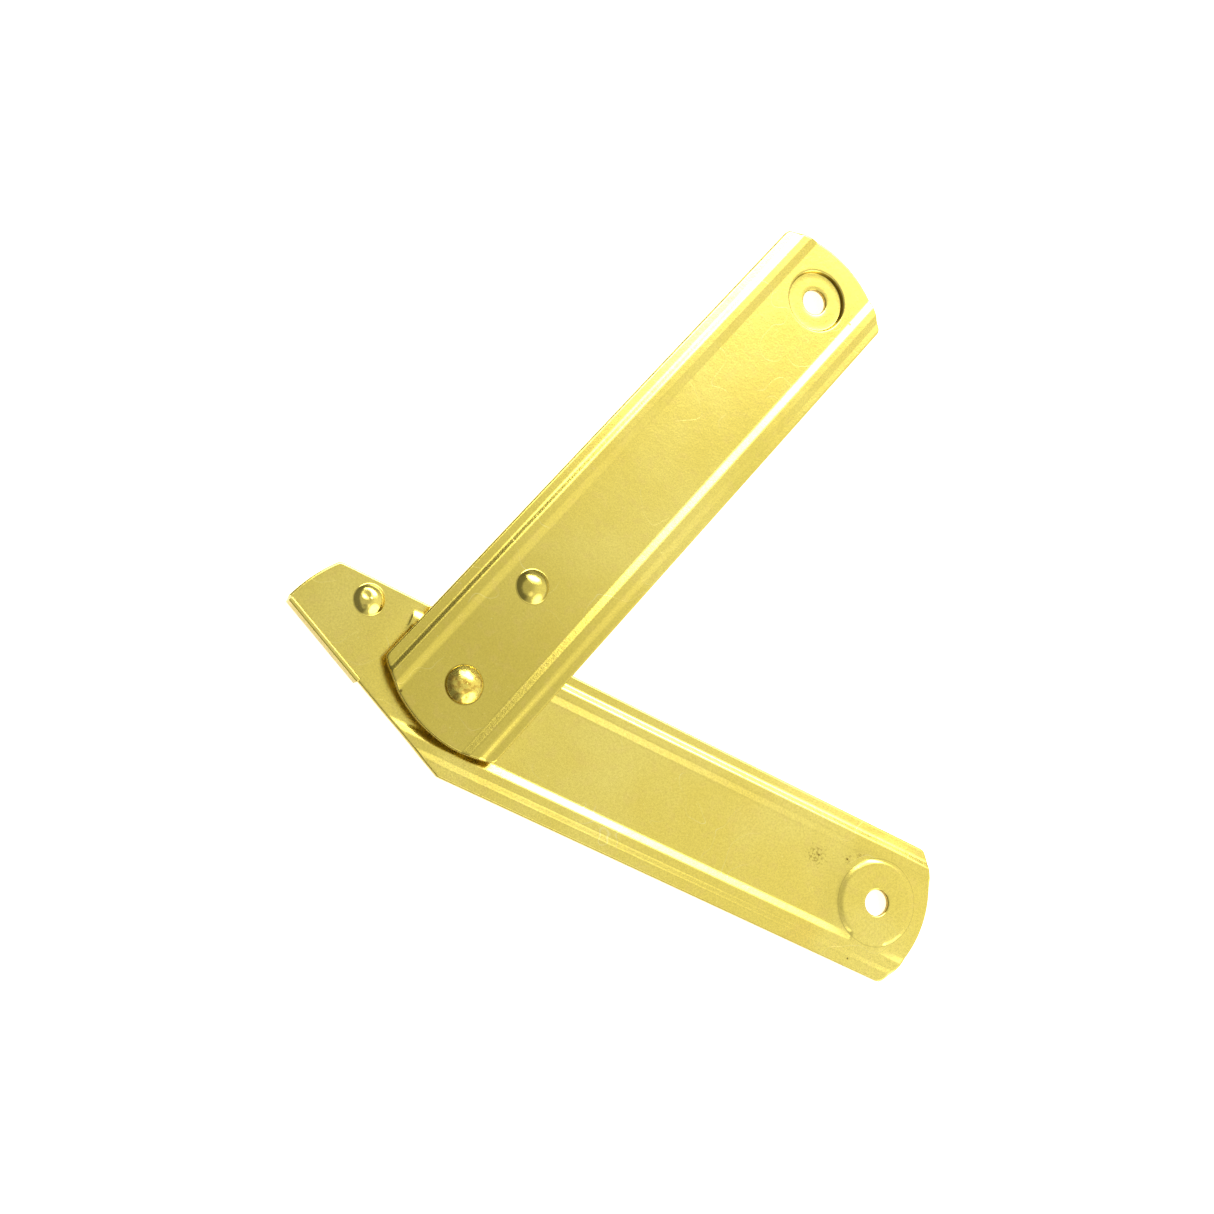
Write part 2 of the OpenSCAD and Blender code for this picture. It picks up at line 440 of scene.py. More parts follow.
def tail_edge(y, inset):
    """Points of the lower arm's left outline: the slanted edge, the tail's end arc and its corner.

    A line across the arm is given by its y on the outline inset by ROLL_IN. Each part keeps its own
    measure for every inset: the distance along the slanted edge, and the angle round the two arcs.
    """
    rolled_start = SLANT_START - SLANT_OUT * ROLL_IN
    corner_y = HALF_WIDTH - CORNER_R
    corner_x = TAIL_END_C[0] - math.sqrt((TAIL_END_R - CORNER_R) ** 2 - (corner_y - TAIL_END_C[1]) ** 2)
    along = (y - rolled_start[1]) / SLANT[1]
    slanted = SLANT_START - SLANT_OUT * inset + along[:, None] * SLANT
    arc_r = TAIL_END_R - ROLL_IN
    turn = math.pi - np.arcsin(np.clip((y - TAIL_END_C[1]) / arc_r, -1, 1))
    arc = TAIL_END_C + polar(TAIL_END_R - inset, turn)
    corner_turn = math.pi - np.arcsin(np.clip((y - corner_y) / (CORNER_R - ROLL_IN), -1, 1))
    corner = np.array([corner_x, corner_y]) + polar(CORNER_R - inset, corner_turn)
    meet_turn = math.atan2(corner_y - TAIL_END_C[1], corner_x - TAIL_END_C[0])
    meet_y = TAIL_END_C[1] + arc_r * math.sin(meet_turn)
    reach = rolled_start - TAIL_END_C
    half = reach @ SLANT
    slant_end = -half + math.sqrt(half**2 - reach @ reach + arc_r**2)
    slant_y = (rolled_start + slant_end * SLANT)[1]
    points = np.where((y < slant_y)[:, None], slanted, arc)
    return np.where((y > meet_y)[:, None], corner, points)


def lower_grid(inset):
    """Grid of the lower arm: straight lines across it, fanning out to the outline at both ends."""
    dense = bead_lines(LOWER_BEAD)
    foot = SLANT_START + SLANT * STOP_START
    top = SLANT_START + SLANT * STOP_END
    dense += [(foot[1] + ROLL_IN, 0.25, 0.04), (top[1] + ROLL_IN, 0.3, 0.04)]
    across = packed_lines(-HALF_WIDTH, HALF_WIDTH, LINE_STEP, dense)
    y = narrowed(across, inset)
    left = tail_edge(narrowed(across, ROLL_IN), inset)
    inset_start = SLANT_START - SLANT_OUT * inset
    left[0] = inset_start + SLANT * (-HALF_WIDTH + inset - inset_start[1]) / SLANT[1]
    right = np.stack([end_arc(y, LOWER_HIGH[0], LOWER_END_R, inset), y], axis=-1)
    stations = left, *(straight_line(x, y) for x in LOWER_FANS), right
    tail_dense = [(0.0, 0.03, 0.006), (0.27, 0.12, 0.011), (0.48, 0.03, 0.004)]
    tail_share = packed_lines(0, 1, 0.02, tail_dense)
    middle_share = packed_lines(0, 1, 0.012, [(1.0, 0.1, 0.004)])
    end_share = packed_lines(0, 1, 0.045, [(1.0, 0.12, 0.02)])
    return packed_rows(stations, (tail_share, middle_share, end_share))


def dent(x, y, centre, radius, depth):
    """A shallow round dent: the bell curve exp(-(distance / radius)^2) times its depth."""
    return depth * np.exp(-((x - centre[0]) ** 2 + (y - centre[1]) ** 2) / radius**2)


def lower_form(x, y):
    """Height of the lower arm's pressed surface above its web.

    Two beads run along the arm. The inner one, on the +y side, starts bluntly behind the rivet, and
    the other sinks as it runs out through the slanted edge. The seat is a flat disc with a sloped
    rim on a gentle rise, level with the beads and filling the gap beside it on the -y side. The +y
    edge droops slightly towards the far end, and the tail's dome carries small dents.
    """
    beads = bead_share(y, LOWER_BEAD)
    steep, gentle = 0.55, 0.45
    blunt = steep * smooth(x, BEAD_START, BEAD_START + 0.5)
    blunt = blunt + gentle * smooth(x, BEAD_START + 0.4, BEAD_START + 4)
    from_slant = (SLANT_START[0] - x) * SLANT_OUT[0] + (SLANT_START[1] - y) * SLANT_OUT[1]
    run_out = 0.55 + 0.3 * smooth(from_slant, 0.0, 3.0) + 0.15 * smooth(from_slant, 3.0, 12.0)
    beads = beads * np.where(y > 0, blunt, run_out)
    r = np.hypot(x, y)
    rim, rise = 0.6, 0.4
    seat = rim * rounded_line(r, (SEAT_R, SEAT_R + SEAT_SLOPE), (1, 0), 0.35)
    seat = seat + rise * smooth(-r, -SEAT_R - 6, -SEAT_R)
    beside = smooth(-y, 6.0, 7.5) * smooth(9.6 + y, 0, 0.4) * smooth(3.9 - np.abs(x - 0.6), 0, 0.6)
    droop = DROOP * smooth(x, PIVOT[0] + 25, 0.0) * np.clip(y - HALF_WIDTH + LOWER_BEAD[0], 0, None)
    dents = sum(dent(x, y, centre, radius, depth) for centre, radius, depth in TAIL_DENTS)
    return BEAD_H * merged(merged(beads, seat), beside) - droop - dents


def stop_profile():
    """Rows of the edge where the sheet turns up into the stop, as distances and heights.

    A distance is measured outwards from the pivot's line along the slanted edge. The rows go from
    the web through a small fillet, up the inner face, over the rounded rim, down the outer face and
    round the bend to the underside.
    """
    inner = HALF_WIDTH + 0.05
    outer = inner + SHEET
    top = LOWER_HIGH[2] - LOWER_TOP
    fillet, rim, bend = 0.34, 0.3, 1.1
    quarter = np.radians(np.linspace(0, 90, 6))
    out = [
        inner - fillet + fillet * np.sin(quarter[1:]),
        inner + rim - rim * np.cos(quarter),
        outer - rim + rim * np.sin(quarter),
        outer - bend + bend * np.cos(quarter),
    ]
    up = [
        fillet - fillet * np.cos(quarter[1:]),
        top - rim + rim * np.sin(quarter),
        top - rim + rim * np.cos(quarter),
        bend - SHEET - bend * np.sin(quarter),
    ]
    return np.concatenate(out), np.concatenate(up)


def lower_strip(grid_at, form):
    """The strip round the lower arm: the plain edge, turning into the stop along part of the slant.

    Along the slanted edge the plain profile and the stop's are mixed by a share that is 1 between
    the stop's two ends and 0 outside them, and that rounds those ends off.
    """
    out, up = stop_profile()
    inset, height = plain_edge()
    rows = len(out)
    spread = np.linspace(0, len(inset) - 1, rows)
    inset = np.interp(spread, np.arange(len(inset)), inset)
    height = np.interp(spread, np.arange(len(height)), height)
    strip = []
    for row in range(rows):
        flat = edge_loop(grid_at(inset[row]))
        z = form(flat[:, 0], flat[:, 1]) + height[row]
        local = flat - SLANT_START
        along = local @ SLANT
        outward = local @ SLANT_OUT
        on_slant = np.abs(outward + inset[row]) < 1e-6
        share = smooth(along, STOP_START - 0.02, STOP_START + 0.14)
        share = share * smooth(-along, -STOP_END - 0.02, -STOP_END + 0.14) * on_slant
        beyond = out[row] - HALF_WIDTH - EDGE_GAP
        standing = SLANT_START + along[:, None] * SLANT + beyond * SLANT_OUT
        flat = flat + share[:, None] * (standing - flat)
        z = z + share * (up[row] - z)
        strip.append(np.concatenate([flat, z[:, None]], axis=-1))
    return np.stack(strip)


def hole_feature(centre, radius, reach):
    """A plain round hole, rolled in slightly at its upper edge and chamfered at its lower one."""
    top = radius + np.array([0.75, 0.45, 0.3, *RIM_OUT]), np.array([0, 0, -0.01, *RIM_UP])
    bottom = radius + np.array([0.7, 0.3, 0.06, 0.0]), np.array([0, 0, 0, 0.06])
    return Feature(centre, reach, top, bottom, hole=True)


def dome_feature(centre, radius, reach):
    """A catch dome pressed up out of the sheet, with the smaller and lower hollow under it."""
    foot, rows = 0.3, 12
    top = dome_profile(radius, DOME_H, foot, rows)
    bottom = dome_profile(radius - 0.75, DOME_H - 0.45, foot, rows)
    return Feature(centre, reach, top, bottom, hole=False)


def placed_mesh(skin, name, angle, centre, height):
    """The mesh of an arm's skin once it is turned and moved to its place in the row frame."""
    skin.points = [place(points, angle, centre, height) for points in skin.points]
    return skin.mesh(name)


def make_lower_arm():
    """The lower arm's sheet: its screw hole, the rivet's hole and the tail's dome."""
    features = [
        hole_feature((0, 0), SCREW_R, reach=4.2),
        hole_feature(PIVOT, SHANK_R, reach=3.6),
        dome_feature(TAIL_DOME, TAIL_DOME_R, reach=3.45),
    ]
    skin = pressed_arm(lower_grid, lower_form, features, lower_strip)
    return placed_mesh(skin, "lower_arm_sheet", 0, (0, 0), LOWER_TOP)


# ---- Upper arm, along its own +x from the pivot ----
# Where the lines across the arm stop fanning out: before the pivot, and past the screw hole
UPPER_FANS = -2.6, UPPER_REACH + 2


def upper_grid(inset):
    """Grid of the upper arm: straight lines across it, fanning out to the outline at both ends."""
    dense = bead_lines(UPPER_BEAD)
    across = packed_lines(-HALF_WIDTH, HALF_WIDTH, LINE_STEP, dense)
    y = narrowed(across, inset)
    left = np.stack([-end_arc(y, UPPER_OVER, UPPER_END_R, inset), y], axis=-1)
    right = np.stack([end_arc(y, UPPER_REACH + UPPER_OVER, UPPER_END_R, inset), y], axis=-1)
    stations = left, *(straight_line(x, y) for x in UPPER_FANS), right
    end_share = packed_lines(0, 1, 0.07, [(1.0, 0.12, 0.02)])
    middle_share = packed_lines(0, 1, 0.011, [(0.22, 0.04, 0.004), (0.95, 0.06, 0.004)])
    return packed_rows(stations, (1 - end_share[::-1], middle_share, end_share))


def upper_form(x, y):
    """Height of the upper arm's pressed surface above its web.

    Two beads run along its whole length, and the +y edge droops slightly towards the far end.
    """
    droop = DROOP * smooth(x, 20, UPPER_REACH) * np.clip(y - HALF_WIDTH + UPPER_BEAD[0], 0, None)
    return BEAD_H * bead_share(y, UPPER_BEAD) - droop


def pocket_feature():
    """The sunk pocket: a soft shoulder, a steep wall, a flat floor and the screw hole through it."""
    turn = np.radians(np.linspace(0, 90, 7))
    shoulder, shoulder_drop, corner = 0.4, 0.3, 0.22
    top_r = np.concatenate([
        [POCKET_R + 0.75],
        POCKET_R + 0.05 + shoulder * (1 - np.sin(turn)),
        POCKET_R - 0.08 - corner * (1 - np.cos(turn)),
        SCREW_R + np.array([2.2, 1.0, 0.4, *RIM_OUT]),
    ])
    floor = -POCKET_DEPTH
    top_z = np.concatenate([
        [0.0],
        -shoulder_drop * (1 - np.cos(turn)),
        floor + corner * (1 - np.sin(turn)),
        floor + np.array([0, 0, 0, *RIM_UP]),
    ])
    wall = POCKET_R + POCKET_WALL
    under_corner = 0.3
    bottom_r = np.concatenate([
        [wall + 0.5, wall + 0.15, wall + 0.04],
        wall - under_corner * (1 - np.cos(turn)),
        SCREW_R + np.array([2.0, 0.7, 0.06, 0.0]),
    ])
    bottom_z = np.concatenate([
        [0.0, 0.0, -0.06],
        floor + under_corner * (1 - np.sin(turn)),
        [floor, floor, floor, floor + 0.06],
    ])
    centre = UPPER_REACH, 0
    return Feature(centre, 7.3, (top_r, top_z), (bottom_r, bottom_z), hole=True)


def make_upper_arm():
    """The upper arm's sheet: the pocket with its screw hole, the pivot's bore and the catch dome."""
    features = [
        pocket_feature(),
        hole_feature((0, 0), UPPER_BORE_R, reach=3.4),
        dome_feature(polar(DOME_REACH, DOME_ANGLE), UPPER_DOME_R, reach=4.0),
    ]
    skin = pressed_arm(upper_grid, upper_form, features, plain_strip)
    return placed_mesh(skin, "upper_arm_sheet", REST_ANGLE, PIVOT, UPPER_TOP)


# ---- Rivet and spacer ----
def turned_piece(name, profile, dents, around=160):
    """A solid turned about the rivet's axis from a closed outline of (radius, height) points.

    The outline runs from the crown on the axis down the outside to the lowest point on the axis.
    dents(points) gives how far each point of the turned grid is moved, with the axis at 0, 0.
    """
    r, z = np.array(profile).T
    angle = np.linspace(0, 2 * math.pi, around, endpoint=False)
    flat = polar(r[1:-1, None], angle[None, :])
    heights = np.broadcast_to(z[1:-1, None, None], flat.shape[:2] + (1,))
    points = np.concatenate([flat, heights], axis=-1)
    points = points + dents(points)
    skin = Skin()
    rows = skin.add(place(points, 0, PIVOT, 0))
    skin.span(rows, closed=True)
    skin.close(rows[0], [*PIVOT, z[0]])
    skin.close(rows[-1], [*PIVOT, z[-1]], flip=True)
    return skin.mesh(name)


def make_rivet():
    """The rivet: a domed head marked by the riveting tool, a shank and a flatter formed head."""
    head_r = (RIVET_HIGH[0] - RIVET_LOW[0]) / 2
    skirt = 0.5
    head_z = UPPER_TOP + 0.03
    cap_h = RIVET_HIGH[2] - head_z - skirt
    ball = (head_r**2 + cap_h**2) / (2 * cap_h)
    r = head_r * np.linspace(0, 1, 40)
    cap = [(a, head_z + skirt + cap_h - ball + math.sqrt(ball**2 - a**2)) for a in r]
    skirt_rows = [(head_r, head_z + 0.25), (head_r - 0.05, head_z + 0.08), (head_r - 0.2, head_z)]
    shank = [(SHANK_R, head_z), (SHANK_R, LOWER_LOW[2])]
    rounding = (LOWER_LOW[2] - RIVET_LOW[2]) / 2
    formed = [(FORMED_HEAD_R, LOWER_LOW[2]), (FORMED_HEAD_R, LOWER_LOW[2] - rounding)]
    formed += [(FORMED_HEAD_R - rounding, RIVET_LOW[2]), (0.0, RIVET_LOW[2])]

    count = 26
    deepest = 0.14
    rng = np.random.default_rng(5)
    marks = polar(head_r * np.sqrt(rng.uniform(0, 0.8, count)), rng.uniform(0, 2 * math.pi, count))
    reach = rng.uniform(0.35, 0.8, count)
    push = rng.uniform(0.02, 0.07, count)

    def dents(points):
        """Downward moves of the head's points: the sum of round marks, each a bell curve."""
        gap = np.hypot(points[..., 0, None] - marks[:, 0], points[..., 1, None] - marks[:, 1])
        depth = (push * np.exp(-((gap / reach) ** 2))).sum(axis=-1)
        on_head = smooth(points[..., 2], head_z + 0.1, head_z + skirt)
        moved = np.zeros_like(points)
        moved[..., 2] = -np.clip(depth, 0, deepest) * on_head
        return moved

    return turned_piece("rivet", cap + skirt_rows + shank + formed, dents)


def make_spacer():
    """The spacer: a washer with a small rounding at its rims, closed round the shank."""
    r = (SPACER_HIGH[0] - SPACER_LOW[0]) / 2
    low, high = SPACER_LOW[2], SPACER_HIGH[2]
    soft = 0.12
    outline = np.array([
        (SPACER_BORE_R, low), (r - soft, low), (r, low + soft),
        (r, high - soft), (r - soft, high), (SPACER_BORE_R, high),
    ])
    angle = np.linspace(0, 2 * math.pi, 96, endpoint=False)
    flat = PIVOT + polar(outline[:, 0][:, None], angle[None, :])
    z = np.broadcast_to(outline[:, 1][:, None, None], flat.shape[:2] + (1,))
    skin = Skin()
    rows = skin.add(np.concatenate([flat, z], axis=-1))
    skin.span(np.concatenate([rows, rows[:1]]), closed=True, flip=True)
    return skin.mesh("spacer")


def make_piece(mesh, material, body, node):
    """Adds a mesh to the scene as a piece that stands for a CAD node and rides on its body."""
    mesh.materials.append(material)
    piece = bpy.data.objects.new(mesh.name, mesh)
    bpy.context.scene.collection.objects.link(piece)
    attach(piece, body)
    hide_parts(node)


# ---- Finishes ----
class Value:
    """A number that changes over the surface: a socket whose arithmetic adds Math nodes."""

    def __init__(self, nodes, socket):
        self.nodes = nodes
        self.socket = socket

    def _math(self, operation, *values):
        return self.nodes.node("ShaderNodeMath", {"operation": operation}, dict(enumerate(values)))

    def __add__(self, other):
        return self._math("ADD", self, other)

    def __radd__(self, other):
        return self._math("ADD", other, self)

    def __sub__(self, other):
        return self._math("SUBTRACT", self, other)

    def __rsub__(self, other):
        return self._math("SUBTRACT", other, self)

    def __mul__(self, other):
        return self._math("MULTIPLY", self, other)

    def __rmul__(self, other):
        return self._math("MULTIPLY", other, self)

    def between(self, low, high):
        """0 where the number is low, 1 where it is high, smoothly between, and held outside."""
        settings = {"interpolation_type": "SMOOTHSTEP"}
        sockets = {"Value": self, "From Min": low, "From Max": high}
        return self.nodes.node("ShaderNodeMapRange", settings, sockets)


class Nodes:
    """Adds nodes to one node tree."""

    def __init__(self, tree):
        self.tree = tree

    def node(self, kind, settings, inputs, output=0):
        """Adds a node, sets its settings, fills its sockets, and returns one of its outputs."""
        made = self.tree.nodes.new(kind)
        for key, value in settings.items():
            setattr(made, key, value)
        for key, value in inputs.items():
            self.fill(made.inputs[key], value)
        return Value(self, made.outputs[output])

    def fill(self, socket, value):
        """Links a socket to a Value, or sets it to a plain number or colour."""
        if isinstance(value, Value):
            self.tree.links.new(value.socket, socket)
        else:
            socket.default_value = value


class Paint(Nodes):
    """One material's nodes, with its surface coordinates in millimetres."""

    def __init__(self, name):
        self.material = bpy.data.materials.new(name)
        self.material.use_nodes = True
        super().__init__(self.material.node_tree)
        self.shader = self.tree.nodes["Principled BSDF"]
        scaled = {0: self.node("ShaderNodeTexCoord", {}, {}, "Object"), "Scale": 1 / MM}
        self.place = self.node("ShaderNodeVectorMath", {"operation": "SCALE"}, scaled)
        normal = self.node("ShaderNodeTexCoord", {}, {}, "Normal")
        self.upward = self.node("ShaderNodeSeparateXYZ", {}, {0: normal}, "Z")

    def noise(self, size, detail=2.0, roughness=0.5, shift=(0, 0, 0)):
        """Cloudy noise from 0 to 1 whose features are about size millimetres across."""
        moved = self.node("ShaderNodeMapping", {}, {"Vector": self.place, "Location": shift})
        sockets = {"Vector": moved, "Scale": 1 / size, "Detail": detail, "Roughness": roughness}
        return self.node("ShaderNodeTexNoise", {}, sockets)

    def mix(self, share, first, second):
        """Colour mixed from first to second by share."""
        sockets = {0: share, 6: first, 7: second}
        return self.node("ShaderNodeMix", {"data_type": "RGBA"}, sockets, 2)

    def line(self, value, level, half_width):
        """1 along the curve where a value crosses a level, falling to 0 half_width either side."""
        rise = value.between(level - half_width, level)
        return rise * (1 - value.between(level, level + half_width))

    def gap(self, centre):
        """Distance in millimetres from a point."""
        sockets = {0: self.place, 1: centre}
        return self.node("ShaderNodeVectorMath", {"operation": "DISTANCE"}, sockets, "Value")

    def near(self, centre, radius, soft):
        """1 within radius millimetres of a point, falling to 0 over the soft width outside it."""
        return self.gap(centre).between(radius + soft, radius)

    def finish(self, colour, roughness, height, depth_mm):
        """Fills the metal shader's sockets and returns the material; height 1 stands depth_mm up."""
        bump = {"Height": height, "Distance": depth_mm * MM, "Strength": 1.0}
        self.fill(self.shader.inputs["Base Color"], colour)
        self.fill(self.shader.inputs["Roughness"], roughness)
        self.fill(self.shader.inputs["Normal"], self.node("ShaderNodeBump", {}, bump))
        self.shader.inputs["Metallic"].default_value = 1.0
        return self.material


# Tints of the passivated coat, from its light golds to the brown of pits and stains; the darker ones
# also serve as painted shade
GOLD = (0.90, 0.735, 0.145, 1)
STRAW = (0.94, 0.79, 0.19, 1)
AMBER = (0.88, 0.63, 0.11, 1)
OLIVE = (0.70, 0.61, 0.11, 1)
SHADE_OLIVE = (0.66, 0.535, 0.09, 1)
ROSE = (0.86, 0.58, 0.24, 1)
DARK_MOTTLE_AND_SHADE = (0.42, 0.33, 0.06, 1)
BRONZE = (0.52, 0.34, 0.06, 1)
PALE = (1.0, 0.93, 0.50, 1)
BROWN = (0.20, 0.13, 0.02, 1)


def yellow_passivated(name, specks=(), stains=(), shade_rings=(), shade_patch=None, coarse=None, rubbed=None):
    """Pressed steel with a yellow passivated zinc coat.

    The tint wanders between gold, straw, amber and olive over 10 to 30 mm, with a fine mottle, tiny
    flecks and hairline scratches. Upright edges are coarser and painted darker as shade, and the
    underside is dull. Specks are dark pits, stains are patches of brown dots, the rings are thin
    dark lines of painted shade at bends, hole rims and round the rivet head, the shade patch is a
    place of painted shade tinted darker olive, coarse one where the sheet was stretched rough, and
    rubbed one that the other arm has dulled.
    """
    paint = Paint(name)
    wide = paint.noise(26, detail=3)
    drift = paint.noise(17, detail=2, shift=(40, 11, 3))
    medium = paint.noise(2.2, detail=2, shift=(7, 3, 1))
    fine = paint.noise(0.42, detail=3, roughness=0.7)
    grain = paint.noise(0.22, detail=2, roughness=0.6)
    peel = paint.noise(1.3, detail=2)
    wall = (1 - paint.upward.between(0.30, 0.85)) * paint.upward.between(-0.7, -0.3)
    under = 1 - paint.upward.between(-0.8, -0.5)
    colour = paint.mix(wide.between(0.40, 0.66), GOLD, STRAW)
    colour = paint.mix(drift.between(0.56, 0.8) * 0.35, colour, AMBER)
    colour = paint.mix((1 - drift).between(0.55, 0.8) * 0.3, colour, OLIVE)
    # Painted shade: a darker olive patch round a place, standing in for the dark surroundings the sheet
    # reflects there.
    if shade_patch:
        colour = paint.mix(paint.near(*shade_patch) * 0.75, colour, SHADE_OLIVE)
    colour = paint.mix(medium.between(0.50, 0.70) * 0.12, colour, ROSE)
    colour = paint.mix(fine.between(0.36, 0.66) * 0.23, colour, DARK_MOTTLE_AND_SHADE)
    colour = paint.mix(grain.between(0.40, 0.66) * 0.14, colour, DARK_MOTTLE_AND_SHADE)
    colour = paint.mix(fine.between(0.68, 0.74) * grain.between(0.5, 0.6) * 0.4, colour, BROWN)
    colour = paint.mix((1 - fine).between(0.68, 0.74) * 0.5, colour, PALE)
    hair = paint.line(paint.noise(9, detail=0.6, shift=(3, 8, 2)), 0.5, 0.0024)
    hair = hair * paint.noise(11, detail=0, shift=(9, 1, 5)).between(0.52, 0.60)
    colour = paint.mix(hair * 0.35, colour, PALE)
    # Painted shade: upright edge faces are mixed towards a dark olive, as if in shadow.
    colour = paint.mix(wall * 0.85, colour, DARK_MOTTLE_AND_SHADE)
    colour = paint.mix(wall * fine.between(0.52, 0.62) * 0.5, colour, ROSE)
    roughness = 0.13 + 0.05 * wide + 0.12 * (fine - 0.5) + 0.15 * wall + 0.50 * under
    height = 0.40 * peel + 0.34 * fine + 0.12 * grain + 0.6 * wall * fine - 0.10 * hair
    if rubbed:
        roughness = roughness + 0.07 * paint.near(*rubbed)
    if coarse:
        height = height + paint.near(*coarse) * 0.9 * fine
    for centre, radius in stains:
        patch = paint.near(centre, 0, radius * 1.5)
        spots = paint.noise(0.5, detail=2, roughness=0.6)
        dots = (0.22 * patch + spots).between(0.66, 0.80) * patch
        colour = paint.mix(dots * 0.6, colour, BROWN)
        roughness = roughness + 0.15 * dots
    for centre, radius in specks:
        pit = paint.near(centre, radius, 0.12)
        colour = paint.mix(pit * 0.8, colour, BROWN)
        height = height - 0.4 * pit
    # Painted shade: thin brown rings where shade falls, at bends, hole rims, dome feet and round the
    # rivet head.
    for centre, radius, half_width, strength in shade_rings:
        ring = paint.line(paint.gap(centre), radius, half_width)
        colour = paint.mix(ring * strength, colour, BROWN)
    return paint.finish(colour, roughness, height, 0.03)


def rivet_metal(name):
    """The rivet's coat: brown and amber mottle where the riveting tool has marked it."""
    paint = Paint(name)
    blotch = paint.noise(1.1, detail=3, roughness=0.6)
    fine = paint.noise(0.35, detail=3, roughness=0.7)
    colour = paint.mix(blotch.between(0.42, 0.60), GOLD, AMBER)
    colour = paint.mix(blotch.between(0.50, 0.64) * 0.7, colour, BRONZE)
    colour = paint.mix(fine.between(0.50, 0.70) * 0.35, colour, BROWN)
    roughness = 0.14 + 0.16 * blotch
    return paint.finish(colour, roughness, 0.5 * blotch + 0.3 * fine, 0.06)


def on_arm(u, v, lift=0.0):
    """A point on the upper arm's web, or lift above it, by its distances along and across the arm."""
    flat = PIVOT + polar(u, REST_ANGLE) + polar(v, REST_ANGLE + math.pi / 2)
    return (*flat, UPPER_TOP + lift)


# Specks and stains as centre and radius, and rings of painted shade as centre, radius, half width and
# strength
LOWER_SPECKS = [
    ((-15.2, 3.7, LOWER_TOP), 0.14),
    ((-9.1, 5.3, LOWER_TOP), 0.16),
    ((-1.9, -12.4, LOWER_TOP), 0.14),
]
LOWER_STAINS = [
    ((-15.8, 3.4, LOWER_TOP), 3.2),
    ((-9.0, 5.4, LOWER_TOP), 1.6),
    ((-6.6, 7.0, LOWER_TOP), 1.2),
]
UPPER_SPECKS = [
    (on_arm(24, -9.6), 0.18),
    (on_arm(24.6, -10.9), 0.2),
    (on_arm(-9.1, 7.7), 0.2),
    (on_arm(111, -8.3), 0.2),
]
# Painted shade on the lower arm: at the seat's foot, the screw hole's rim and the tail dome's foot.
LOWER_SHADE_RINGS = [
    ((0, 0, LOWER_TOP), SEAT_R + SEAT_SLOPE + 0.05, 0.12, 0.35),
    ((0, 0, LOWER_TOP + BEAD_H), SCREW_R + 0.05, 0.13, 0.6),
    ((*TAIL_DOME, LOWER_TOP), TAIL_DOME_R + 0.1, 0.16, 0.3),
]
# Painted shade on the upper arm: in the pocket's floor corner, at its shoulder, at the screw hole's
# rim, round the rivet head and at the dome's foot.
UPPER_SHADE_RINGS = [
    (on_arm(UPPER_REACH, 0, -POCKET_DEPTH), POCKET_R - 0.1, 0.16, 0.75),
    (on_arm(UPPER_REACH, 0), POCKET_R + 0.35, 0.12, 0.35),
    (on_arm(UPPER_REACH, 0, -POCKET_DEPTH), SCREW_R + 0.05, 0.13, 0.7),
    (on_arm(0, 0), 3.65, 0.2, 0.6),
    (on_arm(*polar(DOME_REACH, DOME_ANGLE)), UPPER_DOME_R + 0.1, 0.16, 0.35),
]

lower_finish = yellow_passivated(
    "lower_arm_coat", LOWER_SPECKS, LOWER_STAINS, LOWER_SHADE_RINGS,
    coarse=((-88, -9, LOWER_TOP), 2, 14), rubbed=((*PIVOT, LOWER_TOP), 14, 6),
)
# The upper arm gets painted shade: a darker olive patch fading out from its pivot end.
upper_finish = yellow_passivated(
    "upper_arm_coat", UPPER_SPECKS, (), UPPER_SHADE_RINGS, shade_patch=(on_arm(0, 0), 8, 38),
)
rivet_finish = rivet_metal("rivet_coat")
spacer_finish = yellow_passivated("spacer_coat")
make_piece(make_lower_arm(), lower_finish, "lower_arm", "lower_arm")
make_piece(make_upper_arm(), upper_finish, "upper_arm", "upper_arm")
make_piece(make_rivet(), rivet_finish, "lower_arm", "pivot_rivet")
make_piece(make_spacer(), spacer_finish, "lower_arm", "spacer_washer")


# ---- Camera, floor and lights ----
CAMERA_AT = (-0.1783, -0.0657, 0.3224)
CAMERA_RIGHT = Vector((0.8507, 0.3625, 0.3807))
CAMERA_UP = Vector((-0.4352, 0.8928, 0.1223))


def add_camera():
    """The camera, looking down at the stay from the lower left."""
    data = bpy.data.cameras.new("camera")
    data.lens = 55.0
    data.sensor_width = 36
    data.clip_start = 0.01
    camera = bpy.data.objects.new("camera", data)
    back = CAMERA_RIGHT.cross(CAMERA_UP)
    turn = Matrix((CAMERA_RIGHT, CAMERA_UP, back)).transposed()
    camera.matrix_world = Matrix.Translation(CAMERA_AT) @ turn.to_4x4()
    bpy.context.scene.collection.objects.link(camera)
    bpy.context.scene.camera = camera


def add_floor():
    """A plain pale floor, 2 m each way from the middle and just under the rivet's formed head."""
    reach = 2.0
    gap = 0.0001
    z = RIVET_LOW[2] * MM - gap
    corners = [(-reach, -reach, z), (reach, -reach, z), (reach, reach, z), (-reach, reach, z)]
    mesh = bpy.data.meshes.new("floor")
    mesh.from_pydata(corners, [], [(0, 1, 2, 3)])
    material = bpy.data.materials.new("pale_floor")
    material.use_nodes = True
    shader = material.node_tree.nodes["Principled BSDF"]
    shader.inputs["Base Color"].default_value = (0.9, 0.9, 0.9, 1)
    shader.inputs["Roughness"].default_value = 0.9
    shader.inputs["Specular IOR Level"].default_value = 0.0
    shader.inputs["Emission Color"].default_value = (1, 1, 1, 1)
    shader.inputs["Emission Strength"].default_value = 0.75
    mesh.materials.append(material)
    floor = bpy.data.objects.new("floor", mesh)
    bpy.context.scene.collection.objects.link(floor)


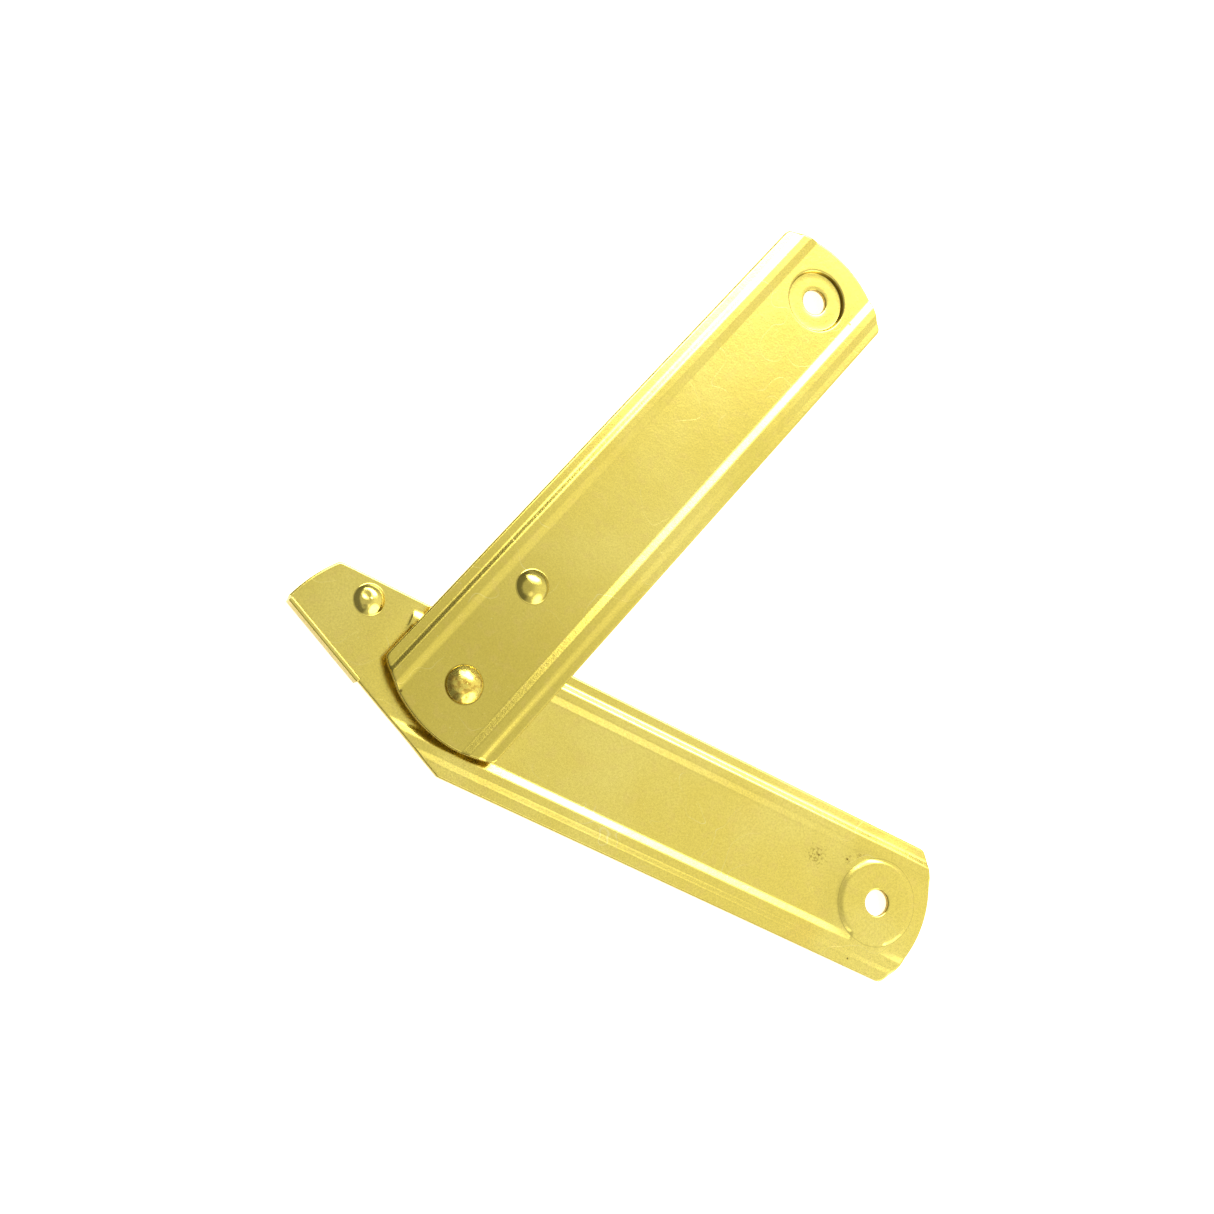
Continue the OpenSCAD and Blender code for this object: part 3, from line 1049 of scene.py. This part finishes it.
def toward(azimuth, elevation):
    """The unit direction at an azimuth from +X and an elevation, in degrees."""
    a, e = math.radians(azimuth), math.radians(elevation)
    return (math.cos(a) * math.cos(e), math.sin(a) * math.cos(e), math.sin(e))


def add_light_tent():
    """Soft studio light all round: a tent, brighter on the right and dim near the floor.

    A dark screen stands low down on the left, and a lighter sill at the back. Each lamp behind the
    tent is a round patch of light, full within its inner angle from the lamp's direction and gone at
    its outer angle. The back lamps shine through a window with an upright left edge and a level
    lower edge. The camera itself sees a plain white backdrop.
    """
    world = bpy.data.worlds.new("light_tent")
    world.use_nodes = True
    bpy.context.scene.world = world
    nodes = Nodes(world.node_tree)
    way = nodes.node("ShaderNodeTexCoord", {}, {}, "Generated")

    def along(direction):
        """How far the way to the light points in a direction: 1 along it, 0 square to it."""
        sockets = {0: way, 1: direction}
        return nodes.node("ShaderNodeVectorMath", {"operation": "DOT_PRODUCT"}, sockets, "Value")

    def lamp(azimuth, elevation, inner, outer, radiance):
        """A round patch of light, from its direction and its inner and outer angle in degrees."""
        low, high = math.cos(math.radians(outer)), math.cos(math.radians(inner))
        return radiance * along(toward(azimuth, elevation)).between(low, high)

    height = along((0, 0, 1))
    window = along(toward(35, 0)).between(-0.09, 0.05) * height.between(0.49, 0.57)
    back = (lamp(92, 30, 18, 43, 2.6) + lamp(92, 30, 20, 34, 7.0)) * window
    side = lamp(-28, 25, 8, 26, 2.6)
    front = lamp(-63, 60, 4, 15, 0.8)
    screen = along(toward(195, 0)).between(-0.1, 0.25) * (1 - height.between(0.70, 0.84))
    sill = along(toward(95, 0)).between(0.4, 0.8) * (1 - height.between(0.44, 0.56))
    tent = 0.60 + 0.44 * along(toward(10, 20)).between(0.3, 0.9)
    tent = tent * (1 - 0.68 * screen) * (1 - 0.25 * sill)
    radiance = (tent + back + side + front) * (0.2 + 0.8 * height.between(0.0, 0.2))
    seen = nodes.node("ShaderNodeLightPath", {}, {}, "Is Camera Ray")
    background = world.node_tree.nodes["Background"]
    nodes.fill(background.inputs["Strength"], radiance + seen * (1 - radiance))
    nodes.fill(background.inputs["Color"], (1, 1, 1, 1))


add_camera()
add_floor()
add_light_tent()
bpy.context.scene.view_settings.view_transform = "Standard"
